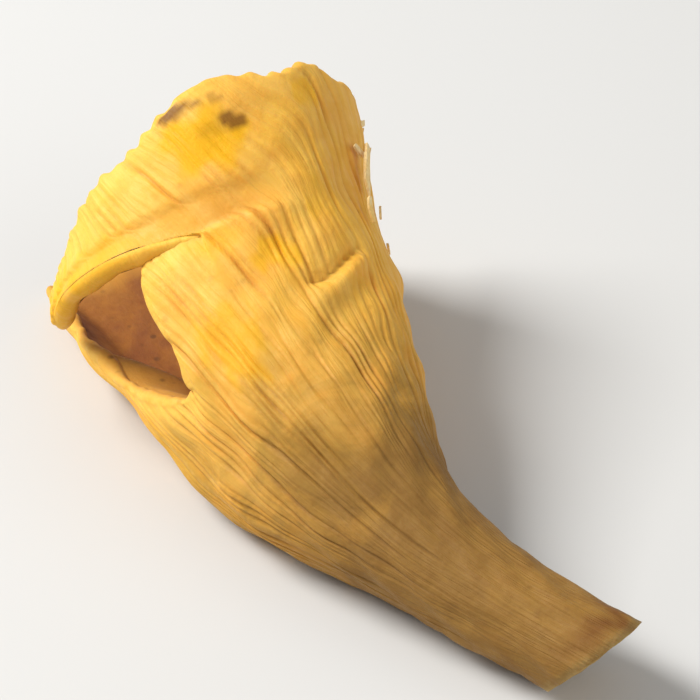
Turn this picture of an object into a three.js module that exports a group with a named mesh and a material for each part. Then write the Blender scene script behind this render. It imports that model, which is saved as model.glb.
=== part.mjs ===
// A chanterelle (Cantharellus), picked and cut at the foot, lying on its side.
//
// The mushroom grew as one piece: a solid stem that widens into a hollow trumpet. Its outside wall
// is worked out as a function of two numbers, the place around the trumpet and the height along it.
// The trumpet's inside follows the outside at the flesh's thickness down to the funnel's bottom.
// Millimetres, +Z up. The stem's cut end points to +X and the trumpet's mouth to -X.
// The origin is under the middle of the mushroom, on the surface that it lies on.

import * as THREE from "three";

// Spine: the middle line of stem and trumpet, from the cut end up. It bows sideways and rises.
const SPINE_START = -5;
const SPINE_LENGTH = 96;
const SPINE_STEP = 0.5;
const BEND_LENGTH = 65;
const HEADING_AT_CUT = 204.5;
const HEADING_AT_MOUTH = 169;
const PITCH_AT_CUT = 3.4;
const PITCH_AT_MOUTH = 14;
const CUT_CENTRE_HEIGHT = 5.2;

// Slanted cut: where it crosses the spine, and how much lower or higher it is at the top and side.
const CUT_BACK = 1.3;
const CUT_SLANT_UP = -3.1;
const CUT_SLANT_SIDE = 0.8;

// Outer radius at heights along the spine: [height, radius].
const PROFILE = [[0, 5.2], [10, 5.3], [24, 7.1], [38, 11.2], [50, 14.1], [60, 16.7], [70, 18.8], [84, 21.3]];

// The cap's margin, station by station around the trumpet:
// [angle in degrees, margin height, extra radius]. Angle 0 is the -Y side, 90 the top, 180 the +Y side.
const MARGIN = [
  [66, 59.2, 0], [66.4, 60.8, 0], [66.8, 61.7, 0], [67.2, 62.4, 0],
  [67.8, 63.1, 0], [69, 64.6, 0], [71, 66, 0], [74, 66.2, 0],
  [79, 67.7, 0], [86, 70.1, 0], [95, 71.7, 0], [107, 73.7, 0],
  [122, 76, -0.2], [138, 77.1, -0.9], [155, 76.8, -1.7], [174, 74.6, -1.6],
  [202, 73, -0.7], [236, 75, 0], [268, 77.5, 0], [294, 78.5, 1.2],
  [315, 76, 2.6], [330, 68.5, 2.6], [344, 58, 1.4], [362, 50, 0.2],
  [384, 46.6, 0], [391, 48.8, 0], [395, 52.8, -0.3], [399, 58.4, -0.6], [409, 59.8, -0.6],
];
const FLARE_START = 54;
const FLARE_END = 64;

// Split in the cap: the flesh above it swings back around the trumpet and hangs over it as a lobe.
const SPLIT_ANGLE = 66;
const SPLIT_HEIGHT = 58;
const LOBE_START = 59.3;
const LOBE_END = 64.3;
const LOBE_TURN = 78;
const LOBE_LEAN = 3.5;
const LOBE_BEGIN = [-0.8, 0.2];
const LOBE_FULL_WIDTH = 5;
const LOBE_FADE = 20;

// The lobe's torn edge, [angle, height], and how far it lifts off the trumpet.
const TORN_EDGE = [[-18, 66.2], [-9.6, 64.4], [1, 63.1], [14.4, 62.4], [30, 61.7], [47, 60.8], [65, 59.2]];
const TORN_LIFT = 2.4;
const TORN_WIDTH = 4;
const TORN_RISE = [66, 12];

// The upper side is a little flatter: share taken off the radius, angle, spread, and heights.
const FLATTENING = 0.04;
const FLATTENED_ANGLE = 80;
const FLATTENED_SPREAD = 40;
const FLATTENED_HEIGHTS = [30, 60];

// Waves of the wall, growing towards the margin: [waves in one turn, phase, share of the height].
const WAVE_HEIGHT = 0.45;
const WAVE_HEIGHTS = [45, 75];
const WAVES = [[5, 0.6, 1], [9, 2.1, 0.5]];

// Flesh: wall thickness at the margin, thicker at the lobe's rolled edge, and the funnel's bottom.
const WALL_THICKNESS = 2.1;
const LIP_EXTRA = 0.7;
const LIP_STATION = 2;
const LIP_REACH = 2;
const FUNNEL_BOTTOM = 44;
const FUNNEL_CURVE = 2.2;

// Grid: columns for each margin station, and rows on the stem, wall, cap edge, rounded rim, inside.
const COLUMNS_PER_STATION = 3;
const STEM_ROWS = 9;
const WALL_ROWS = 5;
const EDGE_ROWS = 7;
const RIM_ROWS = 3;
const INSIDE_ROWS = 11;
const STEM_SHARE = 0.6;
const WALL_SHARE = 0.8;
const BESIDE_SHARE = 0.85;
const NORMAL_TURN = 0.5;
const NORMAL_RISE = 0.3;

const radians = THREE.MathUtils.degToRad;
const smooth = THREE.MathUtils.smoothstep;
const bell = (x, width) => Math.exp(-((x / width) ** 2));
const wrapDegrees = (x) => THREE.MathUtils.euclideanModulo(x + 180, 360) - 180;

// Points and directions along the spine, summed in short steps. Its height 0 is at the cut's centre.
function makeSpine() {
  const place = new THREE.Vector3();
  const spine = [];
  for (let along = SPINE_START; along <= SPINE_LENGTH; along += SPINE_STEP) {
    const bend = smooth(along, 0, BEND_LENGTH);
    const heading = radians(THREE.MathUtils.lerp(HEADING_AT_CUT, HEADING_AT_MOUTH, bend));
    const pitch = radians(THREE.MathUtils.lerp(PITCH_AT_CUT, PITCH_AT_MOUTH, bend));
    const level = Math.cos(pitch);
    const direction = new THREE.Vector3(
      level * Math.cos(heading),
      level * Math.sin(heading),
      Math.sin(pitch),
    );
    spine.push({ place: place.clone(), direction });
    place.addScaledVector(direction, SPINE_STEP);
  }
  const shift = new THREE.Vector3(0, 0, CUT_CENTRE_HEIGHT).sub(spine[-SPINE_START / SPINE_STEP].place);
  spine.forEach((point) => point.place.add(shift));
  return spine;
}

const spine = makeSpine();

// The spine's point, and the two directions across it, at a height along it.
function spineFrame(height) {
  const step = THREE.MathUtils.clamp((height - SPINE_START) / SPINE_STEP, 0, spine.length - 2);
  const low = Math.floor(step);
  const centre = spine[low].place.clone().lerp(spine[low + 1].place, step - low);
  const along = spine[low].direction.clone().lerp(spine[low + 1].direction, step - low).normalize();
  const side = new THREE.Vector3(-along.y, along.x, 0).normalize();
  const up = new THREE.Vector3().crossVectors(along, side);
  return { centre, side, up };
}

// Cubic from start to end with given slopes, at f from 0 to 1.
function hermite(f, start, startSlope, end, endSlope) {
  return (
    (2 * f ** 3 - 3 * f ** 2 + 1) * start +
    (f ** 3 - 2 * f ** 2 + f) * startSlope +
    (-2 * f ** 3 + 3 * f ** 2) * end +
    (f ** 3 - f ** 2) * endSlope
  );
}

// Smooth curve through the profile's points (cubic, with the slope taken from both neighbours).
// Below the first point the radius stays the same.
function profileRadius(givenHeight) {
  const height = Math.max(givenHeight, 0);
  const last = PROFILE.length - 1;
  const slope = (i) => {
    if (i === 0) return 0;
    const [lowHeight, lowRadius] = PROFILE[Math.max(i - 1, 0)];
    const [highHeight, highRadius] = PROFILE[Math.min(i + 1, last)];
    return (highRadius - lowRadius) / (highHeight - lowHeight);
  };
  let i = 0;
  while (i < last - 1 && height > PROFILE[i + 1][0]) i += 1;
  const [start, startRadius] = PROFILE[i];
  const [end, endRadius] = PROFILE[i + 1];
  const span = end - start;
  const f = (height - start) / span;
  return hermite(f, startRadius, span * slope(i), endRadius, span * slope(i + 1));
}

// Angle, margin height and extra radius at any place between the stations (closed smooth curve).
// The angle's slopes are held back where stations lie close together, so that it never turns back.
function marginAt(place) {
  const count = MARGIN.length;
  const first = Math.floor(place);
  const f = place - first;
  const station = (i) => {
    const turns = Math.floor(i / count);
    const [angle, height, flare] = MARGIN[i - turns * count];
    return [angle + 360 * turns, height, flare];
  };
  const [a, b, c, d] = [-1, 0, 1, 2].map((offset) => station(first + offset));
  return b.map((value, k) => {
    let [startSlope, endSlope] = [(c[k] - a[k]) / 2, (d[k] - value) / 2];
    if (k === 0) {
      startSlope = Math.min(startSlope, 3 * (value - a[k]), 3 * (c[k] - value));
      endSlope = Math.min(endSlope, 3 * (c[k] - value), 3 * (d[k] - c[k]));
    }
    return hermite(f, value, startSlope, c[k], endSlope);
  });
}

// Straight line through a list of [x, y] points, constant outside it.
function interpolate(list, x) {
  let i = 0;
  while (i < list.length - 2 && x > list[i + 1][0]) i += 1;
  const [[x0, y0], [x1, y1]] = [list[i], list[i + 1]];
  return THREE.MathUtils.lerp(y0, y1, THREE.MathUtils.clamp((x - x0) / (x1 - x0), 0, 1));
}

// Height along the spine for a share of the way up: from the slanted cut to the funnel's bottom,
// then to the split's height, then to the margin.
function heightAt(angle, marginHeight, share) {
  const turn = radians(angle);
  const foot = CUT_BACK + CUT_SLANT_UP * Math.sin(turn) + CUT_SLANT_SIDE * Math.cos(turn);
  const overBottom = BESIDE_SHARE * (marginHeight - FUNNEL_BOTTOM);
  const beside = Math.min(FUNNEL_BOTTOM + overBottom, SPLIT_HEIGHT);
  if (share < STEM_SHARE) return THREE.MathUtils.lerp(foot, FUNNEL_BOTTOM, share / STEM_SHARE);
  if (share < WALL_SHARE) {
    const part = (share - STEM_SHARE) / (WALL_SHARE - STEM_SHARE);
    return THREE.MathUtils.lerp(FUNNEL_BOTTOM, beside, part);
  }
  return THREE.MathUtils.lerp(beside, marginHeight, (share - WALL_SHARE) / (1 - WALL_SHARE));
}

// Radius of the trumpet without its flare and its lobe.
function plainRadius(around, height) {
  const turn = radians(around);
  const fromFlat = wrapDegrees(around - FLATTENED_ANGLE);
  const flat = FLATTENING * bell(fromFlat, FLATTENED_SPREAD) * smooth(height, ...FLATTENED_HEIGHTS);
  const wave = WAVES.reduce((sum, [count, phase, size]) => sum + size * Math.sin(count * turn + phase), 0);
  return profileRadius(height) * (1 - flat) + WAVE_HEIGHT * wave * smooth(height, ...WAVE_HEIGHTS) ** 2;
}

// The point at an angle around the spine, a height along it, and a radius.
function pointAt(around, height, radius) {
  const { centre, side, up } = spineFrame(height);
  return centre
    .addScaledVector(side, radius * Math.cos(radians(around)))
    .addScaledVector(up, radius * Math.sin(radians(around)));
}

// Where a grid point of the outer wall is. station: place around the margin. share: 0 at the cut,
// 1 at the margin. Near the split the angle swings back, more with height, and so makes the lobe.
function outerPlace(station, share) {
  const [angle, marginHeight, flare] = marginAt(station);
  const height = heightAt(angle, marginHeight, share);
  const pastSplit = wrapDegrees(angle - SPLIT_ANGLE);
  const fade = Math.exp(-Math.max(pastSplit - LOBE_FULL_WIDTH, 0) / LOBE_FADE);
  const lobe = smooth(pastSplit, ...LOBE_BEGIN) * fade;
  const lean = LOBE_LEAN * Math.max(height - LOBE_END, 0);
  const swing = LOBE_TURN * smooth(height, LOBE_START, LOBE_END) + lean;
  const around = angle - lobe * swing;
  const fromTear = height - interpolate(TORN_EDGE, wrapDegrees(around));
  const rise = smooth(-wrapDegrees(around), -TORN_RISE[0], -TORN_RISE[1]);
  const lift = TORN_LIFT * rise * bell(fromTear, TORN_WIDTH) * lobe;
  const radius = plainRadius(around, height) + flare * smooth(height, FLARE_START, FLARE_END) + lift;
  return { around, height, radius };
}

// A point of the outer wall.
function outerPoint(station, share) {
  const { around, height, radius } = outerPlace(station, share);
  return pointAt(around, height, radius);
}

// Direction from the outer wall into the flesh: square to the plain trumpet.
function inwardDirection(station, share) {
  const { around, height } = outerPlace(station, share);
  const plain = (turn, level) => pointAt(turn, level, plainRadius(turn, level));
  const about = plain(around + NORMAL_TURN, height).sub(plain(around - NORMAL_TURN, height));
  const along = plain(around, height + NORMAL_RISE).sub(plain(around, height - NORMAL_RISE));
  return along.cross(about).normalize();
}

// Flesh thickness at the margin: even, but fuller on the lobe's rolled edge.
function fleshAt(station) {
  const count = MARGIN.length;
  const fromLip = THREE.MathUtils.euclideanModulo(station - LIP_STATION + count / 2, count) - count / 2;
  return WALL_THICKNESS + LIP_EXTRA * bell(fromLip, LIP_REACH);
}

// Shares of the way up for the outer wall's rows, closer together towards the margin.
function outerShares() {
  const shares = [];
  const add = (from, to, rows) => {
    for (let i = 0; i < rows; i += 1) shares.push(THREE.MathUtils.lerp(from, to, i / rows));
  };
  add(0, STEM_SHARE, STEM_ROWS);
  add(STEM_SHARE, WALL_SHARE, WALL_ROWS);
  add(WALL_SHARE, 1, EDGE_ROWS);
  shares.push(1);
  return shares;
}

// Flattens what would reach below the surface: the flesh that bears on it is pressed flat.
const restOnSurface = (point, least) => point.setZ(Math.max(point.z, least));

// One column of points: up the outer wall, round the rim, and down the inside of the funnel.
function columnPoints(station) {
  const flesh = fleshAt(station);
  const points = outerShares().map((share) => restOnSurface(outerPoint(station, share), 0));

  const edge = outerPoint(station, 1);
  const inward = inwardDirection(station, 1);
  const alongEdge = outerPoint(station + 0.5, 1).sub(outerPoint(station - 0.5, 1));
  const beyond = alongEdge.cross(inward).normalize();
  for (let i = 1; i <= RIM_ROWS; i += 1) {
    const turn = (Math.PI * i) / (RIM_ROWS + 1);
    const point = edge.clone()
      .addScaledVector(inward, (flesh * (1 - Math.cos(turn))) / 2)
      .addScaledVector(beyond, (flesh * Math.sin(turn)) / 2);
    points.push(restOnSurface(point, 0));
  }

  const bottom = spineFrame(FUNNEL_BOTTOM).centre;
  for (let i = 0; i < INSIDE_ROWS; i += 1) {
    const depth = i / INSIDE_ROWS;
    const share = THREE.MathUtils.lerp(1, STEM_SHARE, depth);
    const point = outerPoint(station, share)
      .addScaledVector(inwardDirection(station, share), flesh)
      .lerp(bottom, depth ** FUNNEL_CURVE);
    points.push(restOnSurface(point, WALL_THICKNESS));
  }
  return points;
}

// Closed body: the grid of columns, a fan over the stem's cut face and one at the funnel's bottom.
function makeMushroomGeometry() {
  const columns = MARGIN.length * COLUMNS_PER_STATION;
  const grid = Array.from({ length: columns }, (_, j) => columnPoints(j / COLUMNS_PER_STATION));
  const rows = grid[0].length;
  const vertices = grid.flat();
  const cutCentre = vertices.push(spineFrame(CUT_BACK).centre) - 1;
  const funnelCentre = vertices.push(spineFrame(FUNNEL_BOTTOM).centre) - 1;

  const faces = [];
  for (let j = 0; j < columns; j += 1) {
    const here = j * rows;
    const next = ((j + 1) % columns) * rows;
    faces.push(cutCentre, next, here);
    for (let i = 0; i < rows - 1; i += 1) {
      faces.push(here + i, next + i, next + i + 1);
      faces.push(here + i, next + i + 1, here + i + 1);
    }
    faces.push(funnelCentre, here + rows - 1, next + rows - 1);
  }

  const geometry = new THREE.BufferGeometry().setFromPoints(vertices);
  geometry.setIndex(faces);
  geometry.computeBoundingBox();
  const middle = geometry.boundingBox.getCenter(new THREE.Vector3());
  geometry.translate(-middle.x, -middle.y, 0);
  geometry.computeVertexNormals();
  return geometry;
}

const flesh = new THREE.MeshStandardMaterial({ color: 0xe8a93a, roughness: 0.72, metalness: 0 });

const chanterelle = new THREE.Mesh(makeMushroomGeometry(), flesh);
chanterelle.name = "chanterelle";

const mushroom = new THREE.Group();
mushroom.add(chanterelle);

export default mushroom;
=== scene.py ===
# %% [markdown]
# # A chanterelle, picked and laid on its side
#
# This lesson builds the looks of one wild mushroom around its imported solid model. A chanterelle
# grows as one piece: a solid stem that opens into a hollow trumpet. Blunt ridges run down the
# outside of the trumpet and fade out on the stem. The inside is smooth and browner, and the edge
# of the cap is thin, pale and frilled. The solid model gives the size and the place of everything
# here. Blender adds what the solid leaves out: the ridges, the frills, the cut face and the skin.

# %% Load the solid model as the frame
import math

import bpy
import numpy as np
from mathutils import Matrix, Vector


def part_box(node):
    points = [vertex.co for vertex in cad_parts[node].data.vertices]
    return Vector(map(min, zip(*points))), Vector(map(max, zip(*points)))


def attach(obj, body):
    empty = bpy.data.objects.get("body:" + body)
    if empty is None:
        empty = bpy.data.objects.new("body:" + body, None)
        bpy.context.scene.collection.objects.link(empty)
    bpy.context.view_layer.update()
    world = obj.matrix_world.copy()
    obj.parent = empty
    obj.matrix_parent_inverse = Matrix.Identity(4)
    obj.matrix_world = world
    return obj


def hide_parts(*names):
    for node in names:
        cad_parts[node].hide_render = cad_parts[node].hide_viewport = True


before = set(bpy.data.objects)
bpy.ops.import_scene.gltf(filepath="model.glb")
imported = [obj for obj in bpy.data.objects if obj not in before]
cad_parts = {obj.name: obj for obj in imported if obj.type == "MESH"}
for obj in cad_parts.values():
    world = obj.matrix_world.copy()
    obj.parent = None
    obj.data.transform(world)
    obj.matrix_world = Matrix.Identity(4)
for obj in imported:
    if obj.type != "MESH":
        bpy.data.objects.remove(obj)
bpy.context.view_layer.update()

node_low, node_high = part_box("chanterelle")
MM = 0.001

# %% [markdown]
# ## Small tools for curves and noise
#
# Everything below is worked out with whole numpy arrays. Three helpers are enough: a soft step, a
# bell, and a smooth noise. The noise is a sum of sine waves with seeded random directions. It
# repeats exactly after one turn around the trumpet, so it leaves no seam where the grid closes.


# %% Helpers
def soft_step(value, start, end):
    """0 before start, 1 after end, and the cubic 3t^2 - 2t^3 between them."""
    t = np.clip((value - start) / (end - start), 0, 1)
    return t * t * (3 - 2 * t)


def bell(value, width):
    """exp(-(value / width)^2): 1 in the middle, falling off over the width."""
    return np.exp(-(value / width) ** 2)


def turned(degrees):
    """Brings an angle into -180..180 degrees."""
    return (degrees + 180) % 360 - 180


def waves(angle, height, seed, turns, lengths, count=14):
    """Mean-free noise around the trumpet: a sum of sin(m * angle + k * height + phase).
    m is a whole number of waves in one turn, within turns; 2 pi / k is a wavelength within lengths."""
    rng = np.random.default_rng(seed)
    m = rng.integers(turns[0], turns[1] + 1, count)
    k = 2 * np.pi / rng.uniform(*lengths, count) * rng.choice([-1, 1], count)
    phase = rng.uniform(0, 2 * np.pi, count)
    total = np.zeros(np.broadcast(angle, height).shape)
    for i in range(count):
        total += np.sin(m[i] * np.radians(angle) + k[i] * height + phase[i])
    return total * math.sqrt(2 / count)


# %% [markdown]
# ## The trumpet's wall
#
# The wall is a function of two numbers: the place around the cap's margin and the share of the way
# up from the cut. A bent middle line, the spine, carries the centre. A profile gives the radius.
# A short list of stations gives how high the margin is all round, because this cap is torn on one
# side. Above the tear the flesh swings round the trumpet and hangs over the opening as a lobe.
# These are the same driving dimensions as the solid model's, in millimetres.

# %% Dimensions of the wall
SPINE = dict(start=-5, length=96, step=0.5, bend=65, heading=(204.5, 169), pitch=(3.4, 14), height=5.2)
# Columns of PROFILE: height along the spine, radius.
PROFILE = np.array([(0, 5.2), (10, 5.3), (24, 7.1), (38, 11.2), (50, 14.1), (60, 16.7), (70, 18.8),
                    (84, 21.3)])
CUT_BACK, CUT_SLANT_UP, CUT_SLANT_SIDE = 1.3, -3.1, 0.8
# Columns of MARGIN: angle in degrees, margin height, extra radius.
MARGIN = np.array([
    (66, 59.2, 0), (66.4, 60.8, 0), (66.8, 61.7, 0), (67.2, 62.4, 0),
    (67.8, 63.1, 0), (69, 64.6, 0), (71, 66, 0), (74, 66.2, 0),
    (79, 67.7, 0), (86, 70.1, 0), (95, 71.7, 0), (107, 73.7, 0),
    (122, 76, -0.2), (138, 77.1, -0.9), (155, 76.8, -1.7), (174, 74.6, -1.6),
    (202, 73, -0.7), (236, 75, 0), (268, 77.5, 0), (294, 78.5, 1.2),
    (315, 76, 2.6), (330, 68.5, 2.6), (344, 58, 1.4), (362, 50, 0.2),
    (384, 46.6, 0), (391, 48.8, 0), (395, 52.8, -0.3), (399, 58.4, -0.6), (409, 59.8, -0.6),
])
FUNNEL_BOTTOM = 44
SPLIT_ANGLE, SPLIT_HEIGHT, BESIDE_SHARE = 66, 58, 0.85
# The lobe: how far it swings round in degrees, and more for each mm above its end; the heights
# between which it swings; the width and fade past the split; the angles where it sets in.
LOBE_TURN, LOBE_LEAN, LOBE_START, LOBE_END, LOBE_WIDTH, LOBE_FADE = 78, 3.5, 59.3, 64.3, 5, 20
LOBE_EDGE = (-0.8, 0.2)
# The lobe's torn edge, angle and height, and how far it lifts off the trumpet there.
TORN_EDGE = np.array([(-18, 66.2), (-9.6, 64.4), (1, 63.1), (14.4, 62.4), (30, 61.7), (47, 60.8),
                      (65, 59.2)])
TORN_LIFT, TORN_WIDTH, TORN_RISE = 2.4, 4, (66, 12)
# The flattening of the upper side: middle angle, spread, share of the radius, start and full height.
FLAT_ANGLE, FLAT_SPREAD, FLAT_SHARE, FLAT_START, FLAT_FULL = 80, 40, 0.04, 30, 60
# Slow waves of the cap: depth in mm, start and full height, and waves in one turn, phase, strength.
WAVE_DEPTH, WAVE_START, WAVE_FULL = 0.45, 45, 75
CAP_WAVES = [(5, 0.6, 1), (9, 2.1, 0.5)]
FLARE_START, FLARE_FULL = 54, 64
MARGIN_WAVER, MARGIN_CALM = 0.4, 5
# Shares of the way from the cut to the margin at which the funnel's bottom and the split are passed.
STEM_SHARE, WALL_SHARE = 0.6, 0.8
FLESH, EDGE_FLESH, LIP_FLESH = 2.2, 1.5, 1.4


# %% The wall as a function of two parameters
def make_spine():
    """Heights, points and directions of the spine: heading and pitch bend with a soft step over
    the first stretch, and the point is the running sum of the direction."""
    height = np.arange(SPINE["start"], SPINE["length"] + SPINE["step"], SPINE["step"])
    bend = soft_step(height, 0, SPINE["bend"])
    heading = np.radians(SPINE["heading"][0] + bend * (SPINE["heading"][1] - SPINE["heading"][0]))
    pitch = np.radians(SPINE["pitch"][0] + bend * (SPINE["pitch"][1] - SPINE["pitch"][0]))
    level = np.cos(pitch)
    direction = np.stack([level * np.cos(heading), level * np.sin(heading), np.sin(pitch)], 1)
    place = np.cumsum(direction, 0) * SPINE["step"] - direction * SPINE["step"]
    place += (0, 0, SPINE["height"]) - place[height == 0]
    return height, place, direction


SPINE_HEIGHT, SPINE_PLACE, SPINE_DIRECTION = make_spine()


def spine_frame(height):
    """Centre, side and up directions of the cross-section at a height along the spine."""
    centre = np.stack([np.interp(height, SPINE_HEIGHT, SPINE_PLACE[:, k]) for k in range(3)], -1)
    along = np.stack([np.interp(height, SPINE_HEIGHT, SPINE_DIRECTION[:, k]) for k in range(3)], -1)
    along /= np.linalg.norm(along, axis=-1, keepdims=True)
    side = np.stack([-along[..., 1], along[..., 0], np.zeros_like(height)], -1)
    side /= np.linalg.norm(side, axis=-1, keepdims=True)
    return centre, side, np.cross(along, side)


def hermite(f, start, start_slope, end, end_slope):
    """Cubic from start to end with the slopes given, at f from 0 to 1."""
    return ((2 * f**3 - 3 * f**2 + 1) * start + (f**3 - 2 * f**2 + f) * start_slope
            + (3 * f**2 - 2 * f**3) * end + (f**3 - f**2) * end_slope)


def profile_radius(height):
    """Smooth cubic through the profile's points, its slopes taken from both neighbours."""
    x, y = PROFILE.T
    last_slope = (y[-1] - y[-2]) / (x[-1] - x[-2])
    slope = np.concatenate([[0], (y[2:] - y[:-2]) / (x[2:] - x[:-2]), [last_slope]])
    height = np.maximum(height, 0)
    i = np.clip(np.searchsorted(x, height) - 1, 0, len(x) - 2)
    span = x[i + 1] - x[i]
    return hermite((height - x[i]) / span, y[i], span * slope[i], y[i + 1], span * slope[i + 1])


def margin_at(place):
    """Angle, margin height and extra radius between the stations: a closed smooth curve through
    them, with a full turn added to the angle every time round. Where stations lie close together
    the angle's slope is held back to 3 times the smaller step, so that the angle never turns back."""
    count = len(MARGIN)
    first = np.floor(place).astype(int)
    f = (place - first)[..., None]

    def station(i):
        values = MARGIN[i % count].astype(float)
        values[..., 0] += 360 * (i // count)
        return values

    a, b, c, d = (station(first + k) for k in (-1, 0, 1, 2))
    start, end = (c - a) / 2, (d - b) / 2
    start[..., 0] = np.minimum(start[..., 0], 3 * np.minimum(b - a, c - b)[..., 0])
    end[..., 0] = np.minimum(end[..., 0], 3 * np.minimum(c - b, d - c)[..., 0])
    return hermite(f, b, start, c, end)


def plain_radius(around, height):
    """Radius without the flare: the profile, a little flatter on the upper side, with slow waves."""
    turn = np.radians(around)
    flat = FLAT_SHARE * bell(turned(around - FLAT_ANGLE), FLAT_SPREAD)
    radius = profile_radius(height) * (1 - flat * soft_step(height, FLAT_START, FLAT_FULL))
    wave = sum(strength * np.sin(count * turn + phase) for count, phase, strength in CAP_WAVES)
    return radius + WAVE_DEPTH * wave * soft_step(height, WAVE_START, WAVE_FULL) ** 2


def place_on(around, height, radius):
    """Point = centre(height) + radius * (cos(angle) side + sin(angle) up)."""
    centre, side, up = spine_frame(height)
    turn = np.radians(around)
    return centre + (radius * np.cos(turn))[..., None] * side + (radius * np.sin(turn))[..., None] * up


def plain_normal(around, height):
    """Outward normal of the plain trumpet: step around crossed with step up, both of them short."""
    turn_step, height_step = 0.5, 0.3

    def plain(angle, level):
        return place_on(angle, level, plain_radius(angle, level))

    about = plain(around + turn_step, height) - plain(around - turn_step, height)
    along = plain(around, height + height_step) - plain(around, height - height_step)
    normal = np.cross(about, along)
    return normal / np.linalg.norm(normal, axis=-1, keepdims=True)


def wall(place, share):
    """Outer wall: the points, and the angle and height that they have. The height goes from the
    slanted cut to the margin. Near the tear's upper edge the angle swings back around the trumpet,
    the more the higher the point is, and that makes the lobe."""
    angle, margin, flare = np.moveaxis(margin_at(place), -1, 0)
    calm = 1 - bell(turned(angle - SPLIT_ANGLE), MARGIN_CALM)
    waver = waves(angle, 0, 11, (7, 19), (50, 60))
    margin = margin + MARGIN_WAVER * calm * waver * soft_step(margin, 46, 70)
    foot = CUT_BACK + CUT_SLANT_UP * np.sin(np.radians(angle)) + CUT_SLANT_SIDE * np.cos(np.radians(angle))
    beside = np.minimum(FUNNEL_BOTTOM + BESIDE_SHARE * (margin - FUNNEL_BOTTOM), SPLIT_HEIGHT)
    part = (share - STEM_SHARE) / (WALL_SHARE - STEM_SHARE)
    last = (share - WALL_SHARE) / (1 - WALL_SHARE)
    height = np.where(share < STEM_SHARE, foot + (FUNNEL_BOTTOM - foot) * share / STEM_SHARE,
                      np.where(share < WALL_SHARE, FUNNEL_BOTTOM + part * (beside - FUNNEL_BOTTOM),
                               beside + last * (margin - beside)))
    past = turned(angle - SPLIT_ANGLE)
    lobe = soft_step(past, *LOBE_EDGE) * np.exp(-np.maximum(past - LOBE_WIDTH, 0) / LOBE_FADE)
    swing = LOBE_TURN * soft_step(height, LOBE_START, LOBE_END)
    swing = swing + LOBE_LEAN * np.maximum(height - LOBE_END, 0)
    around = angle - lobe * swing
    from_tear = height - np.interp(turned(around), *TORN_EDGE.T)
    lift = TORN_LIFT * soft_step(-turned(around), -TORN_RISE[0], -TORN_RISE[1]) * bell(from_tear, TORN_WIDTH)
    radius = plain_radius(around, height) + flare * soft_step(height, FLARE_START, FLARE_FULL) + lift * lobe
    return place_on(around, height, radius), around, height


# %% [markdown]
# ## Ridges that fork
#
# The ridges are not thin gills but blunt folds of the wall, about a millimetre apart. They start
# faint on the stem, grow towards the cap, and fork as the trumpet widens, so that their spacing
# stays about the same. A texture could fake them, but light catches real folds much better, so
# they are made in the mesh. Each fold is a half wave. At its own height it turns into two half
# waves, and both shapes are zero at the fold's sides, so neighbours never tear apart.

# %% Relief of the outer wall
FOLDS = 46
DRIFT, DRIFT_START, DRIFT_ANGLE, DRIFT_SPREAD = 0.026, 36, 70, 70
SLOW_WAVER, QUICK_WAVER = 1.2, 0.35
# Half width of a groove as a share of a fold, for the first grooves and for those of forks.
GROOVE_WIDTH, FORK_GROOVE_WIDTH = 0.11, 0.10
GROOVE_REACH, FORK_REACH = 14, 4
FAINT_DEPTH, CAP_DEPTH, MOUTH_LOSS = 0.12, 0.42, 0.14
CRACK_HEIGHT, CRACK_ANGLE, CRACK_END, CRACK_SLOPE, CRACK_WAVER = 50.6, 99, 132, 0.11, 0.7


def fold_angle(around, height):
    """Angle that the folds follow: it drifts around the upper side as the cap widens, and
    wavers, so that the folds wander and no two are quite parallel."""
    drift = DRIFT * np.maximum(height - DRIFT_START, 0) ** 2
    drift = drift * bell(turned(around - DRIFT_ANGLE), DRIFT_SPREAD)
    slow = SLOW_WAVER * waves(around, height, 21, (3, 11), (18, 44))
    quick = QUICK_WAVER * waves(around, height, 22, (14, 30), (9, 18))
    return around + drift + (slow + quick) * soft_step(height, 6, 30)


def fold_relief(around, height):
    """Height of the folds in mm, and the same as 0 in a groove to 1 on a crest. Grooves are bells
    across the fold index; the one in the middle of a fold comes in where that fold forks."""
    index = fold_angle(around, height) / 360 * FOLDS
    side, middle = np.round(index).astype(int) % FOLDS, np.floor(index).astype(int) % FOLDS
    rng = np.random.default_rng(31)
    fork, start = rng.uniform(28, 66, FOLDS), rng.uniform(0, 26, FOLDS)
    strong, length = rng.uniform(0.2, 1.2, FOLDS), rng.uniform(7, 19, FOLDS)
    phase = rng.uniform(0, 6.3, FOLDS)

    def broken(line):
        return strong[line] * (0.72 + 0.28 * np.sin(6.28 * height / length[line] + phase[line]))

    begun = soft_step(height, start[side], start[side] + GROOVE_REACH)
    main = bell(index - np.round(index), GROOVE_WIDTH) * broken(side) * begun
    forked = soft_step(height, fork[middle] - FORK_REACH, fork[middle] + FORK_REACH)
    extra = bell(index - np.floor(index) - 0.5, FORK_GROOVE_WIDTH) * broken(middle - 5) * forked
    groove = np.clip(main + extra, 0, 1)
    size = FAINT_DEPTH + CAP_DEPTH * soft_step(height, 14, 44) - MOUTH_LOSS * soft_step(height, 56, 72)
    calm = 1 - 0.75 * bell(height - crack_line(around) + 1, 2.2) * crack_window(around)
    return size * calm * (1 - groove), 1 - groove * calm


def crack_line(around):
    """Height of the tear at each angle."""
    waver = CRACK_WAVER * np.sin(np.radians(around * 9))
    return CRACK_HEIGHT + turned(around - CRACK_ANGLE) * CRACK_SLOPE + waver


def crack_window(around):
    """1 where the tear is and 0 elsewhere."""
    begun = soft_step(turned(around - CRACK_ANGLE), -3, 6)
    return begun * (1 - soft_step(turned(around - CRACK_END), -8, 3))


def crack_relief(around, height):
    """A short tear across the folds: a narrow groove with a raised lip on its lower side."""
    above = height - crack_line(around)
    return (0.75 * bell(above + 1.5, 1.3) - 0.9 * bell(above - 0.1, 0.5)) * crack_window(around)


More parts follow.
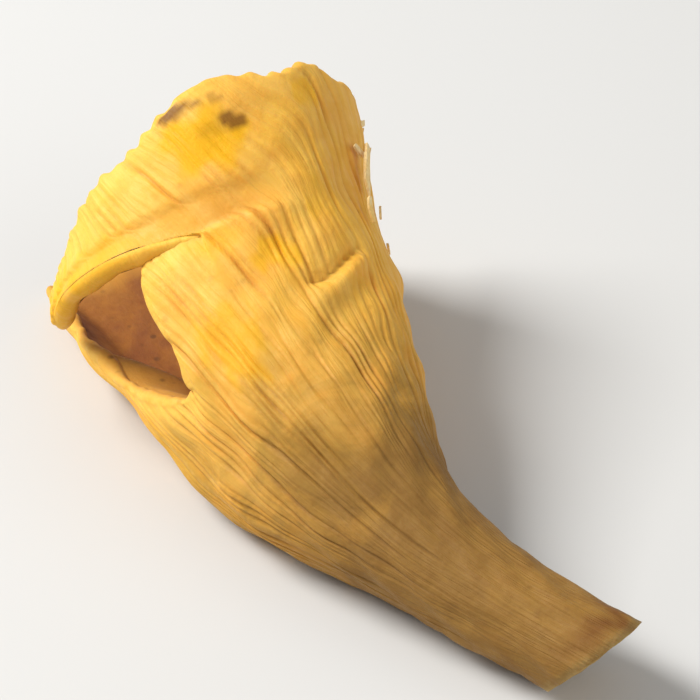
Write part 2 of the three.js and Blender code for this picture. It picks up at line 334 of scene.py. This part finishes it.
def lumps(around, height):
    """Slow swellings of the flesh, in mm."""
    slow = 0.35 * waves(around, height, 51, (1, 4), (22, 50)) * soft_step(height, 4, 40)
    small = 0.10 * waves(around, height, 52, (5, 12), (6, 14))
    return slow + small


# %% [markdown]
# ## From wall to closed flesh
#
# The grid runs from the middle of the cut face over its edge, up the outside, round the margin's
# rim, and down the inside to the funnel's bottom, where it closes. The rim is half a circle as
# thick as the flesh. Its frills are small waves that only show there. Where the flesh would reach
# below the surface that it lies on, it is pressed flat, as the solid model is.

# %% Rows and columns of the grid
COLUMNS = 920
CUT_ROWS, STEM_ROWS, MIDDLE_ROWS, MARGIN_ROWS, RIM_ROWS, INSIDE_ROWS = 6, 34, 18, 26, 7, 17
OUTER_SHARES = np.concatenate([
    np.linspace(0, STEM_SHARE, STEM_ROWS, endpoint=False),
    np.linspace(STEM_SHARE, WALL_SHARE, MIDDLE_ROWS, endpoint=False),
    np.linspace(WALL_SHARE, 1, MARGIN_ROWS),
])
# Least height of the inside above the surface that the mushroom lies on, in mm.
LEAST_FLESH = 1.9
# The lip: its middle station and reach in stations, and how far the ridges stay away from it.
LIP_STATION, LIP_REACH, LIP_CALM = 2, 2.6, 1.6
EDGE_CALM, EDGE_REACH = 0.45, 1.2
# Where columns swing this many degrees from row to row, the ridges fade out.
SHEAR_FADE = (1.0, 3.2)
PLAIN_CREST = 0.6
EDGE_WAVER, FRILL, INSIDE_WAVER = 0.2, 0.16, 0.14
CUT_BULGE, CUT_GRAIN, POLE_BULGE = 0.3, 0.1, 0.3
# Height at which the up mark is 1, and how far the other marks reach, in mm.
UP_RANGE = 80
# Radius of the upright tube that grain_place rolls the skin onto.
GRAIN_RADIUS = 15
EDGE_MARK, INNER_EDGE_MARK, LIP_MARK, CUT_MARK = 3.0, 2.0, 4, 0.35


def spread_columns():
    """Places of the columns, so that they lie evenly both around the trumpet and along the margin:
    the running sum of both lengths is cut into equal parts."""
    place = np.linspace(0, len(MARGIN), 4001)
    low_share, low_weight, edge_weight = 0.75, 1.4, 0.6
    low, edge = (np.linalg.norm(np.diff(wall(place, share)[0], axis=0), axis=1) for share in (low_share, 1))
    total = np.concatenate([[0], np.cumsum(low_weight * low + edge_weight * edge)])
    return np.interp(np.arange(COLUMNS) / COLUMNS * total[-1], total, place)


def unit(vectors):
    """The vectors at length 1."""
    return vectors / (np.linalg.norm(vectors, axis=-1, keepdims=True) + 1e-12)


# Patches of the skin: angle, height, half width in degrees, half height in mm, strength.
DEEP_PATCHES = [
    (79, 68.3, 12.5, 3.1, 1.0), (91, 54.9, 9.5, 1.9, 0.75), (56, 47.5, 12, 4.2, 0.6),
    (30, 62.5, 12, 2.0, 0.5), (4, 63.6, 14, 2.2, 0.8), (72, 58.0, 8, 1.6, 0.45),
    (121, 73.6, 7, 1.9, 0.6), (118, 60, 7, 2.6, 0.35), (205, 64, 16, 4, 0.6), (250, 52, 18, 5, 0.5),
]
BROWN_FLECKS = [
    (89.5, 69.9, 4.4, 0.95, 0.85), (84, 69.3, 5, 0.9, 0.22), (74, 72.5, 7, 0.8, 0.9),
    (87, 72.6, 2.4, 0.45, 0.4), (109, 65.5, 6, 1.5, 0.10), (236, 71, 7, 0.9, 0.7),
]
# The browned band behind the cut: distance, waver and spread in mm, middle angle, spread, strength.
STAIN_BACK, STAIN_WAVER, STAIN_WIDTH, STAIN_ANGLE, STAIN_SPREAD, STAIN_STRENGTH = 2.6, 0.6, 1.3, 100, 60, 0.8


def patches(around, height, table):
    """Strongest of a table's ovals on the skin, each full inside and fading at a ragged outline."""
    ragged = 0.15 * waves(around, height, 81, (12, 40), (4, 9))
    ragged += 0.08 * waves(around, height, 83, (30, 60), (5, 9))
    total = np.zeros(np.shape(around))
    for angle, place, wide, tall, strength in table:
        away = np.hypot(turned(around - angle) / wide, (height - place) / tall) + ragged
        total = np.maximum(total, strength * (1 - soft_step(away, 0.7, 1.3)))
    return total


def brown_marks(around, height, from_cut):
    """The flecks near the margin, and the band that has browned behind the cut on its upper side."""
    waver = STAIN_WAVER * waves(around, 0, 82, (3, 12), (50, 60))
    band = bell(from_cut - STAIN_BACK - waver, STAIN_WIDTH)
    band = band * bell(turned(around - STAIN_ANGLE), STAIN_SPREAD)
    return np.clip(patches(around, height, BROWN_FLECKS) + STAIN_STRENGTH * band, 0, 1)


def make_grid():
    """Rows of points, and for each point the numbers that the materials read."""
    places = spread_columns()
    place, share = np.meshgrid(places, OUTER_SHARES)
    base, around, height = wall(place, share)
    normal = plain_normal(around, height)
    folds, crest = fold_relief(around, height)
    from_lip = (places - LIP_STATION + len(MARGIN) / 2) % len(MARGIN) - len(MARGIN) / 2
    lip = bell(from_lip, LIP_REACH)
    below_edge = height[-1] - height
    steady = 1 - soft_step(np.abs(np.gradient(around, axis=0)), *SHEAR_FADE)
    folds = folds * steady * (1 - lip * bell(below_edge, LIP_CALM))
    folds = folds * (1 - EDGE_CALM * bell(below_edge, EDGE_REACH))
    crest = PLAIN_CREST + (crest - PLAIN_CREST) * steady
    relief = folds + crack_relief(around, height) + lumps(around, height)
    outer = base + normal * relief[..., None]

    edge_around, edge_height = around[-1], height[-1]
    edge_flesh = EDGE_FLESH + LIP_FLESH * lip + EDGE_WAVER * waves(edge_around, 0, 61, (9, 30), (50, 60))
    beyond = unit(np.cross(np.roll(outer[-1], -1, 0) - np.roll(outer[-1], 1, 0), -normal[-1]))
    frill = FRILL * waves(edge_around, 0, 62, (24, 60), (50, 60), 20) * (1 - 0.9 * lip)
    turn = (np.pi * np.arange(1, RIM_ROWS + 1) / (RIM_ROWS + 1))[:, None, None]
    rim = (outer[-1] - normal[-1] * (edge_flesh * 0.5)[:, None] * (1 - np.cos(turn))
           + beyond * (edge_flesh * 0.5 + frill)[:, None] * np.sin(turn))

    depth = (np.arange(INSIDE_ROWS) / INSIDE_ROWS)[:, None] ** 1.2
    inner_place, inner_depth = np.meshgrid(places, depth)
    inner_base, inner_around, inner_height = wall(inner_place, 1 + inner_depth * (STEM_SHARE - 1))
    waver = INSIDE_WAVER * waves(inner_around, inner_height, 71, (4, 12), (9, 25))
    thickness = edge_flesh + (FLESH - EDGE_FLESH) * soft_step(inner_depth, 0, 0.35)
    thickness = thickness - relief[-1] * (1 - soft_step(inner_depth, 0, 0.15))
    thickness = thickness - waver * soft_step(inner_depth, 0, 0.1)
    inner = inner_base - plain_normal(inner_around, inner_height) * thickness[..., None]
    bottom = spine_frame(np.array(float(FUNNEL_BOTTOM)))[0]
    inner = inner + (bottom - inner) * inner_depth[..., None] ** 2.2

    centre = spine_frame(np.array(CUT_BACK))[0]
    fraction = (np.arange(1, CUT_ROWS + 1) / (CUT_ROWS + 1))[:, None, None]
    cut = centre + (outer[0] - centre) * fraction
    grain_bumps = waves(around[:1], 8 * fraction[..., 0], 73, (2, 9), (3, 9))
    bulge = CUT_BULGE * (1 - fraction[..., 0] ** 2) + CUT_GRAIN * grain_bumps
    bulge = bulge * (1 - fraction[..., 0] ** 6)
    cut = cut - SPINE_DIRECTION[0] * bulge[..., None]

    outside = np.concatenate([cut, outer, rim])
    outside[..., 2] = np.maximum(outside[..., 2], 0)
    inner[..., 2] = np.maximum(inner[..., 2], LEAST_FLESH)
    points = np.concatenate([outside, inner])

    rows = [CUT_ROWS, len(OUTER_SHARES), RIM_ROWS, INSIDE_ROWS]

    def stack(*parts):
        return np.concatenate([np.broadcast_to(part, (count, COLUMNS)).astype(float)
                               for part, count in zip(parts, rows)])

    half = 0.5 + 0.5 * np.cos(turn[..., 0])
    angles = stack(around[:1], around, edge_around, inner_around)
    levels = stack(height[:1], height, edge_height, inner_height)
    marks = {
        "crest": stack(0.5, crest, crest[-1] * half, 0),
        "up": levels / UP_RANGE,
        "inside": stack(0, 0, 1 - half, 1),
        "edge": stack(0, bell(edge_height - height, EDGE_MARK), 1,
                      bell(edge_height - inner_height, INNER_EDGE_MARK)),
        "lip": stack(0, lip * bell(edge_height - height, LIP_MARK), lip, 0),
        "cut": stack(1, bell(height - height[0], CUT_MARK), 0, 0),
        "deep": patches(angles, levels, DEEP_PATCHES),
        "brown": stack(0, brown_marks(around, height, height - height[0]), 0, 0),
    }
    follow = np.radians(fold_angle(angles, levels))
    grain = np.stack([GRAIN_RADIUS * np.cos(follow), GRAIN_RADIUS * np.sin(follow), levels], -1) * MM
    plain_box = np.stack([base.reshape(-1, 3).min(0), base.reshape(-1, 3).max(0)])
    return points, marks, grain, centre, bottom, plain_box


# %% The mesh
def closed_mesh(name, points, low_pole, high_pole):
    """A mesh from a grid that is closed sideways, with a fan of triangles at each end."""
    rows, columns, _ = points.shape
    vertices = np.concatenate([points.reshape(-1, 3), [low_pole], [high_pole]]) * MM
    i, j = np.meshgrid(np.arange(rows - 1), np.arange(columns), indexing="ij")
    k = (j + 1) % columns
    quads = np.stack([i * columns + j, i * columns + k, (i + 1) * columns + k, (i + 1) * columns + j], -1)
    j = np.arange(columns)
    k = (j + 1) % columns
    first = np.stack([np.full(columns, rows * columns), k, j], -1)
    top = (rows - 1) * columns
    last = np.stack([np.full(columns, rows * columns + 1), top + j, top + k], -1)
    loops = np.concatenate([quads.ravel(), first.ravel(), last.ravel()])
    sizes = np.concatenate([np.full(quads.size // 4, 4), np.full(2 * columns, 3)])
    mesh = bpy.data.meshes.new(name)
    mesh.vertices.add(len(vertices))
    mesh.vertices.foreach_set("co", vertices.ravel())
    mesh.loops.add(len(loops))
    mesh.loops.foreach_set("vertex_index", loops)
    mesh.polygons.add(len(sizes))
    mesh.polygons.foreach_set("loop_start", np.concatenate([[0], np.cumsum(sizes)[:-1]]))
    mesh.polygons.foreach_set("use_smooth", np.ones(len(sizes), bool))
    mesh.update(calc_edges=True)
    mesh.validate()
    return mesh


def write_mark(mesh, name, values, kind="FLOAT", field="value"):
    """A named attribute of the mesh's points, which the materials read."""
    attribute = mesh.attributes.new(name, kind, "POINT")
    attribute.data.foreach_set(field, np.ascontiguousarray(values, dtype=np.float32).ravel())


points, marks, grain, low_pole, high_pole, plain_box = make_grid()
PLACE = ((np.array(node_low) + node_high) / 2 / MM - plain_box.mean(0)) * (1, 1, 0)
points, low_pole, high_pole = (p + PLACE for p in (points, low_pole, high_pole))
low_pole = low_pole - SPINE_DIRECTION[0] * POLE_BULGE
mushroom_mesh = closed_mesh("chanterelle_flesh", points, low_pole, high_pole)
for name, values in marks.items():
    write_mark(mushroom_mesh, name, np.concatenate([values.ravel(), values[0, :1], values[-1, :1]]))
grain_rows = grain.reshape(-1, 3)
write_mark(mushroom_mesh, "grain_place", np.concatenate([grain_rows, grain_rows[:1], grain_rows[-1:]]),
           "FLOAT_VECTOR", "vector")
mushroom = bpy.data.objects.new("chanterelle_flesh", mushroom_mesh)
bpy.context.collection.objects.link(mushroom)
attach(mushroom, "root")
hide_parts("chanterelle")
triangles = sum(len(face.vertices) - 2 for face in mushroom_mesh.polygons)
print("faces", len(mushroom_mesh.polygons), "triangles", triangles)


# %% [markdown]
# ## Loose flakes
#
# On the side away from the light the skin has lifted in small pale slivers, as it does when a
# chanterelle dries a little at the ridges. Each sliver is a closed chip, longer than wide and
# ragged at its outline. It lies along the ridges, and one end stands off the wall. Scattered
# copies of one chip would look alike, so a seeded loop draws each chip's place, size and outline.

# %% Flakes of lifted skin
FLAKE_COUNT, FLAKE_CORNERS, FLAKE_THICKNESS, FLAKE_GAP = 14, 9, 0.25, 0.1
FLAKE_ANGLES, FLAKE_HEIGHTS = (140, 176), (42, 76)
FLAKE_LENGTHS, FLAKE_WIDTHS, FLAKE_STANDS = (1.0, 3.2), (0.7, 1.5), (0.1, 0.45)
FLAKE_TWIST, FLAKE_RAGGED = 0.8, (0.65, 1.15)
FLAKE_STATIONS, FLAKE_FLARE_START, FLAKE_FLARE_FULL = slice(12, 16), 54, 72


LONG_SLIVER = (149, 67, 0.1, 6.5, 1.2, 0.35)  # angle, height, twist, length, width, stand


def make_flakes():
    """Vertices and faces of all chips: two ragged ovals, one above the other, and a band of quads."""
    rng = np.random.default_rng(91)
    vertices, faces = [], []
    for number in range(FLAKE_COUNT):
        drawn = (rng.uniform(*FLAKE_ANGLES), rng.uniform(*FLAKE_HEIGHTS), rng.normal(0, FLAKE_TWIST),
                 rng.uniform(*FLAKE_LENGTHS), rng.uniform(*FLAKE_WIDTHS), rng.uniform(*FLAKE_STANDS))
        around, height, twist, length, width, stand = LONG_SLIVER if number == 0 else drawn
        around, height = np.array(float(around)), np.array(float(height))
        flare = np.interp(around, MARGIN[FLAKE_STATIONS, 0], MARGIN[FLAKE_STATIONS, 2])
        flare = flare * soft_step(height, FLAKE_FLARE_START, FLAKE_FLARE_FULL)
        normal = plain_normal(around, height)
        middle = place_on(around, height, plain_radius(around, height) + flare + FLAKE_GAP)
        ahead = unit(place_on(around, height + 1, plain_radius(around, height)) - middle)
        ahead = unit(ahead - normal * (ahead @ normal))
        across = np.cross(normal, ahead)
        ahead, across = (ahead * math.cos(twist) + across * math.sin(twist),
                         across * math.cos(twist) - ahead * math.sin(twist))
        turn = 2 * np.pi * np.arange(FLAKE_CORNERS) / FLAKE_CORNERS
        ragged = rng.uniform(*FLAKE_RAGGED, FLAKE_CORNERS)
        along, side = length / 2 * np.cos(turn) * ragged, width / 2 * np.sin(turn) * ragged
        lift = stand * (along / length + 0.5) ** 2 * length / 2
        low = middle + along[:, None] * ahead + side[:, None] * across + lift[:, None] * normal
        high = low + normal * FLAKE_THICKNESS
        start = len(vertices)
        vertices += [*low, *high]
        corners = list(range(FLAKE_CORNERS))
        faces.append([start + i for i in reversed(corners)])
        faces.append([start + FLAKE_CORNERS + i for i in corners])
        for i in corners:
            j = (i + 1) % FLAKE_CORNERS
            faces.append([start + i, start + j, start + FLAKE_CORNERS + j, start + FLAKE_CORNERS + i])
    return (np.array(vertices) + PLACE) * MM, faces


flake_places, flake_faces = make_flakes()
flake_mesh = bpy.data.meshes.new("lifted_flakes")
flake_mesh.from_pydata(flake_places.tolist(), [], flake_faces)
flake_mesh.update()
flakes = bpy.data.objects.new("lifted_flakes", flake_mesh)
bpy.context.collection.objects.link(flakes)
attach(flakes, "root")
print("flakes", FLAKE_COUNT, "faces", len(flake_mesh.polygons))

# %% [markdown]
# ## The flesh's colour and grain
#
# A chanterelle is egg yellow where it is fresh, deeper where it is bruised or damp, and duller
# on the stem. Streaks of paler and darker skin follow the ridges. The materials therefore read
# grain_place, an attribute that runs with the ridges and closes around the trumpet. The two
# effects below are node groups, because the flesh and the flakes both use them. A painted image
# could carry all this, but noise and masks worked out from the shape stay sharp at any size.


# %% Helpers for shader nodes
def colour(red, green, blue):
    """A colour given in screen values 0..255, as the linear value that a shader takes."""
    return tuple(((v / 255 + 0.055) / 1.055) ** 2.4 for v in (red, green, blue)) + (1,)


def add(tree, kind, values=(), **settings):
    """Adds a node, applies its settings, and sets or links its inputs by name or number."""
    node = tree.nodes.new(kind)
    for name, value in settings.items():
        setattr(node, name, value)
    for key, value in dict(values).items():
        if isinstance(value, bpy.types.NodeSocket):
            tree.links.new(value, node.inputs[key])
        else:
            node.inputs[key].default_value = value
    return node


def mix(tree, factor, first, second, blend="MIX"):
    """Colour mix: the output socket of a blend between two colours."""
    node = tree.nodes.new("ShaderNodeMix")
    node.data_type, node.blend_type = "RGBA", blend
    for key, value in ((0, factor), (6, first), (7, second)):
        if isinstance(value, bpy.types.NodeSocket):
            tree.links.new(value, node.inputs[key])
        else:
            node.inputs[key].default_value = value
    return node.outputs[2]


def maths(tree, operation, first, second=0.0, clamp=False):
    """Output socket of one sum, product or power."""
    node = add(tree, "ShaderNodeMath", {0: first, 1: second}, operation=operation, use_clamp=clamp)
    return node.outputs[0]


def ramp(tree, value, low, high):
    """Smooth 0..1 ramp of a value between low and high."""
    inputs = {0: value, 1: low, 2: high}
    return add(tree, "ShaderNodeMapRange", inputs, interpolation_type="SMOOTHSTEP").outputs[0]


def mark(tree, name):
    """Value of a point attribute of the piece."""
    return add(tree, "ShaderNodeAttribute", attribute_name=name).outputs["Fac"]


# %% Node group: streaks along the ridges
ALONG_THE_RIDGE = 0.09  # how much the noise is drawn out: the scale along a ridge, to 1 across it
FIBRES_PER_STREAK = 2.7


def noise(tree, place, scale, **settings):
    """Value of a noise texture at a place; settings name its other inputs."""
    return add(tree, "ShaderNodeTexNoise", {"Vector": place, "Scale": scale, **settings}).outputs["Fac"]


def make_streaks():
    """Noise drawn out along the grain: narrow across it, some ten times longer along it."""
    tree = bpy.data.node_groups.new("streaks along the ridges", "ShaderNodeTree")
    face = tree.interface
    face.new_socket("Place", in_out="INPUT", socket_type="NodeSocketVector")
    face.new_socket("Streaks per metre", in_out="INPUT", socket_type="NodeSocketFloat").default_value = 900
    face.new_socket("Streak", in_out="OUTPUT", socket_type="NodeSocketFloat")
    face.new_socket("Fibre", in_out="OUTPUT", socket_type="NodeSocketFloat")
    inside = add(tree, "NodeGroupInput")
    place, scale = inside.outputs["Place"], inside.outputs["Streaks per metre"]
    drawn = add(tree, "ShaderNodeVectorMath", {0: place, 1: (1, 1, ALONG_THE_RIDGE)}, operation="MULTIPLY")
    broad = noise(tree, drawn.outputs[0], scale, Detail=3.0, Roughness=0.6)
    fine = noise(tree, drawn.outputs[0], maths(tree, "MULTIPLY", scale, FIBRES_PER_STREAK), Detail=4.0)
    outside = add(tree, "NodeGroupOutput")
    tree.links.new(ramp(tree, broad, 0.36, 0.66), outside.inputs["Streak"])
    tree.links.new(ramp(tree, fine, 0.35, 0.68), outside.inputs["Fibre"])
    return tree


# %% Node group: mottled flesh
# Scales of the patterns: how many clouds, cells or groups of specks there are in a metre.
LARGE_CLOUDS, SMALL_CLOUDS, SPECK_CELLS, SPECK_GROUPS = 110.0, 420.0, 480.0, 150.0


def make_mottled():
    """Two sizes of cloudy patches, and rare dark specks, from the piece's own coordinates."""
    tree = bpy.data.node_groups.new("mottled flesh", "ShaderNodeTree")
    face = tree.interface
    face.new_socket("Place", in_out="INPUT", socket_type="NodeSocketVector")
    for name in ("Large", "Small", "Specks"):
        face.new_socket(name, in_out="OUTPUT", socket_type="NodeSocketFloat")
    inside = add(tree, "NodeGroupInput")
    place = inside.outputs["Place"]
    large = noise(tree, place, LARGE_CLOUDS, Detail=5.0, Roughness=0.65, Distortion=0.6)
    small = noise(tree, place, SMALL_CLOUDS, Detail=4.0, Roughness=0.6)
    cells = add(tree, "ShaderNodeTexVoronoi", {"Vector": place, "Scale": SPECK_CELLS})
    rare = noise(tree, place, SPECK_GROUPS, Detail=1.0)
    dots = maths(tree, "SUBTRACT", 1.0, ramp(tree, cells.outputs["Distance"], 0.08, 0.26))
    outside = add(tree, "NodeGroupOutput")
    specks = maths(tree, "MULTIPLY", dots, ramp(tree, rare, 0.56, 0.66))
    tree.links.new(ramp(tree, large, 0.38, 0.66), outside.inputs["Large"])
    tree.links.new(ramp(tree, small, 0.35, 0.68), outside.inputs["Small"])
    tree.links.new(specks, outside.inputs["Specks"])
    return tree


STREAKS, MOTTLED = make_streaks(), make_mottled()


def use_group(tree, group, place, **values):
    """Adds a node group to a material and gives it a place to read."""
    node = add(tree, "ShaderNodeGroup", node_tree=group)
    tree.links.new(place, node.inputs["Place"])
    for name, value in values.items():
        node.inputs[name.replace("_", " ")].default_value = value
    return node.outputs


# %% [markdown]
# ## The flesh material
#
# The colour is built up in the order in which it comes about on the mushroom. First the stem's
# dull ochre, darkened in part as painted shade, and the cap's egg yellow. Then clouds and
# streaks, painted shade in the grooves, and paler crests. Then the pale rim, the lip brightened
# as painted light, the brown inside, which is partly painted shade, and the cut. Last the bruises
# and specks.

# %% Colours of the flesh
# Each pair is the colour on the stem and the colour on the cap. The stem's colours are darker
# partly because its flesh is duller and partly as painted shade.
SKIN_AND_STEM_SHADE = colour(142, 103, 42), colour(240, 184, 66)
CLOUDS = colour(166, 122, 50), colour(232, 158, 66)
PALE_STREAKS = colour(180, 138, 62), colour(248, 204, 104)
DARK_STREAKS = colour(112, 72, 26), colour(222, 150, 30)
# Painted shade: the grooves between the ridges are darkened in the colour.
GROOVE_SHADE = colour(92, 58, 22), colour(190, 116, 28)
# The lip's colour is brightened as painted light, against the shade that its roll lies in.
RIM, LIP_PAINTED_LIGHT, BRUISE = colour(248, 200, 88), colour(250, 188, 62), colour(236, 174, 0)
# The hollow's browns are partly the flesh's own colour and partly painted shade inside the trumpet.
HOLLOW_BROWN_AND_SHADE, HOLLOW_CLOUDS, HOLLOW_DARK = colour(134, 76, 32), colour(158, 98, 34), colour(122, 70, 34)
HOLLOW_RIM = colour(226, 164, 62)
CUT, CUT_CLOUDS = colour(190, 158, 96), colour(160, 122, 62)
BROWNED, SPECKS = colour(104, 54, 6), colour(84, 48, 20)
# Between these values of the up mark the stem's colours turn into the cap's.
CAP_BEGINS, CAP_FULL = 0.34, 0.72
STREAKS_ON_FLESH, STREAKS_ON_FLAKES = 760.0, 1500.0
ROUGHNESS = (0.56, 0.74)
GRAIN_STRENGTH, GRAIN_DEPTH = 0.7, 0.0002


def share(tree, value, amount):
    """A mask made weaker: value times amount, kept within 0 and 1."""
    return maths(tree, "MULTIPLY", value, amount, clamp=True)


def start_material(name):
    """A new material: itself, its node tree and its Principled BSDF."""
    material = bpy.data.materials.new(name)
    material.use_nodes = True
    return material, material.node_tree, material.node_tree.nodes["Principled BSDF"]


# %% Layers of colour on the outside
def outer_skin(tree, streak, cloud):
    """Stem to cap, the stem partly darkened as painted shade; clouds, streaks, painted shade in the
    grooves; then the pale rim, the lip brightened as painted light, and the bruises.
    """
    groove = maths(tree, "SUBTRACT", 1.0, mark(tree, "crest"), clamp=True)
    waver = maths(tree, "ADD", mark(tree, "up"), share(tree, cloud["Large"], 0.10))
    # Painted shade in part: along this ramp the stem's darker colours give way to the cap's.
    dull_shaded_stem_to_cap = ramp(tree, waver, CAP_BEGINS, CAP_FULL)
    streaks = maths(tree, "MULTIPLY", streak["Streak"], maths(tree, "ADD", share(tree, dull_shaded_stem_to_cap, 0.25), 0.14))
    dark = mix(tree, dull_shaded_stem_to_cap, *DARK_STREAKS)
    skin = mix(tree, dull_shaded_stem_to_cap, *SKIN_AND_STEM_SHADE)
    skin = mix(tree, share(tree, cloud["Large"], 0.5), skin, mix(tree, dull_shaded_stem_to_cap, *CLOUDS))
    skin = mix(tree, streaks, skin, mix(tree, dull_shaded_stem_to_cap, *PALE_STREAKS))
    skin = mix(tree, share(tree, cloud["Small"], 0.28), skin, dark)
    skin = mix(tree, share(tree, streak["Fibre"], 0.12), skin, dark)
    # Painted shade in the grooves between the ridges.
    skin = mix(tree, share(tree, groove, 0.5), skin, mix(tree, dull_shaded_stem_to_cap, *GROOVE_SHADE))
    skin = mix(tree, share(tree, mark(tree, "edge"), 0.35), skin, RIM)
    # Painted light: the lip is brightened against the shade that its roll lies in.
    skin = mix(tree, share(tree, mark(tree, "lip"), 0.85), skin, LIP_PAINTED_LIGHT)
    return mix(tree, share(tree, mark(tree, "deep"), 0.95), skin, BRUISE)


# %% Layers of colour in the hollow
def hollow_skin_and_shade(tree, cloud):
    """Brown with clouds, partly the flesh's own colour and partly painted shade inside the trumpet,
    and yellower towards the rim.
    """
    # Painted shade in part: the inside's brown is deepened as shade within the trumpet.
    hollow_and_shade = mix(tree, cloud["Large"], HOLLOW_BROWN_AND_SHADE, HOLLOW_CLOUDS)
    hollow_and_shade = mix(tree, share(tree, cloud["Small"], 0.4), hollow_and_shade, HOLLOW_DARK)
    return mix(tree, share(tree, mark(tree, "edge"), 0.6), hollow_and_shade, HOLLOW_RIM)


# %% Material of the flesh
def make_flesh():
    """All layers of colour over one another, a mottled roughness, and a fine grain as bump."""
    material, tree, surface = start_material("chanterelle_flesh")
    object_place = add(tree, "ShaderNodeTexCoord").outputs["Object"]
    grain_place = add(tree, "ShaderNodeAttribute", attribute_name="grain_place").outputs["Vector"]
    streak = use_group(tree, STREAKS, grain_place, Streaks_per_metre=STREAKS_ON_FLESH)
    cloud = use_group(tree, MOTTLED, object_place)
    inner = mark(tree, "inside")

    skin = mix(tree, inner, outer_skin(tree, streak, cloud), hollow_skin_and_shade(tree, cloud))
    skin = mix(tree, mark(tree, "cut"), skin, mix(tree, cloud["Small"], CUT, CUT_CLOUDS))
    skin = mix(tree, share(tree, mark(tree, "brown"), 0.92), skin, BROWNED)
    specks = maths(tree, "MULTIPLY", cloud["Specks"], maths(tree, "ADD", share(tree, inner, 0.5), 0.16))
    skin = mix(tree, specks, skin, SPECKS)
    tree.links.new(skin, surface.inputs["Base Color"])

    rough = add(tree, "ShaderNodeMapRange", {0: cloud["Small"], 3: ROUGHNESS[0], 4: ROUGHNESS[1]})
    tree.links.new(rough.outputs[0], surface.inputs["Roughness"])
    relief = maths(tree, "ADD", share(tree, streak["Fibre"], 0.35), share(tree, streak["Streak"], 0.4))
    relief = maths(tree, "MULTIPLY", relief, maths(tree, "SUBTRACT", 1.0, share(tree, inner, 0.85)))
    relief = maths(tree, "ADD", relief, share(tree, cloud["Small"], 0.35))
    bump = add(tree, "ShaderNodeBump",
               {"Strength": GRAIN_STRENGTH, "Distance": GRAIN_DEPTH, "Height": relief})
    tree.links.new(bump.outputs["Normal"], surface.inputs["Normal"])
    surface.inputs["Subsurface Weight"].default_value = 0.12
    surface.inputs["Subsurface Radius"].default_value = (1.0, 0.45, 0.12)
    surface.inputs["Subsurface Scale"].default_value = 0.0018
    surface.inputs["Specular IOR Level"].default_value = 0.32
    return material


# %% Material of the flakes
DRY_SKIN, DRY_FIBRES = (colour(252, 228, 172), colour(250, 208, 120)), colour(196, 146, 84)


def make_flake_skin():
    """Dried skin: paler than the flesh, with the same clouds."""
    material, tree, surface = start_material("dried_skin")
    object_place = add(tree, "ShaderNodeTexCoord").outputs["Object"]
    cloud = use_group(tree, MOTTLED, object_place)
    streak = use_group(tree, STREAKS, object_place, Streaks_per_metre=STREAKS_ON_FLAKES)
    skin = mix(tree, cloud["Small"], *DRY_SKIN)
    skin = mix(tree, share(tree, streak["Fibre"], 0.35), skin, DRY_FIBRES)
    tree.links.new(skin, surface.inputs["Base Color"])
    surface.inputs["Roughness"].default_value = 0.7
    surface.inputs["Specular IOR Level"].default_value = 0.3
    return material


mushroom_mesh.materials.append(make_flesh())
flake_mesh.materials.append(make_flake_skin())

# %% [markdown]
# ## Floor, lights and camera
#
# The mushroom lies on a plain pale floor. A wide soft light stands at the upper left and makes the
# ridges show, a weak one on the right opens the shadows. The camera looks down on the mushroom
# from beyond the stem's end, far away and with a long lens.

# %% Floor
FLOOR_REACH = 2
FLOOR_DROP = -0.00006  # just clear of the flat side, so that the two faces never coincide
floor_mesh = bpy.data.meshes.new("floor")
corners = [(x * FLOOR_REACH, y * FLOOR_REACH, FLOOR_DROP) for x, y in ((-1, -1), (1, -1), (1, 1), (-1, 1))]
floor_mesh.from_pydata(corners, [], [(0, 1, 2, 3)])
floor = bpy.data.objects.new("floor", floor_mesh)
bpy.context.collection.objects.link(floor)
floor_material = bpy.data.materials.new("floor")
floor_material.use_nodes = True
floor_surface = floor_material.node_tree.nodes["Principled BSDF"]
floor_surface.inputs["Base Color"].default_value = colour(206, 205, 202)
floor_surface.inputs["Roughness"].default_value = 0.8
floor_mesh.materials.append(floor_material)


# %% Lights
def area_light(name, place, size, watts, target=(0, 0, 0.015)):
    """A square soft light at a place, turned to the target."""
    data = bpy.data.lights.new(name, "AREA")
    data.size, data.energy = size, watts
    lamp = bpy.data.objects.new(name, data)
    lamp.location = place
    lamp.rotation_euler = (Vector(target) - Vector(place)).to_track_quat("-Z", "Y").to_euler()
    bpy.context.collection.objects.link(lamp)


area_light("key", (-0.34, -0.36, 0.55), 0.32, 7.0)
area_light("fill", (0.5, 0.3, 0.35), 0.6, 1.2)
world = bpy.data.worlds.new("studio")
world.use_nodes = True
world.node_tree.nodes["Background"].inputs["Color"].default_value = (1, 1, 1, 1)
world.node_tree.nodes["Background"].inputs["Strength"].default_value = 0.38
bpy.context.scene.world = world
bpy.context.scene.view_settings.view_transform = "Standard"

# %% Camera
AZIMUTH, ELEVATION, LEAN, HALF_VIEW = (math.radians(v) for v in (58.29, 42.14, 1.13, 5.93))
CAMERA_PLACE = Vector((0.18120, -0.14271, 0.254))
camera_data = bpy.data.cameras.new("camera")
camera_data.sensor_width = 36
camera_data.lens = camera_data.sensor_width / 2 / math.tan(HALF_VIEW)
camera = bpy.data.objects.new("camera", camera_data)
bpy.context.collection.objects.link(camera)
bpy.context.scene.camera = camera
flat_part = math.cos(ELEVATION)
back = Vector((math.sin(AZIMUTH) * flat_part, -math.cos(AZIMUTH) * flat_part, math.sin(ELEVATION)))
level = Vector((math.cos(AZIMUTH), math.sin(AZIMUTH), 0))
above = back.cross(level)
right = level * math.cos(LEAN) + above * math.sin(LEAN)
above = back.cross(right)
turned_camera = Matrix((right, above, back)).transposed().to_4x4()
camera.matrix_world = Matrix.Translation(Vector(PLACE * MM) + CAMERA_PLACE) @ turned_camera
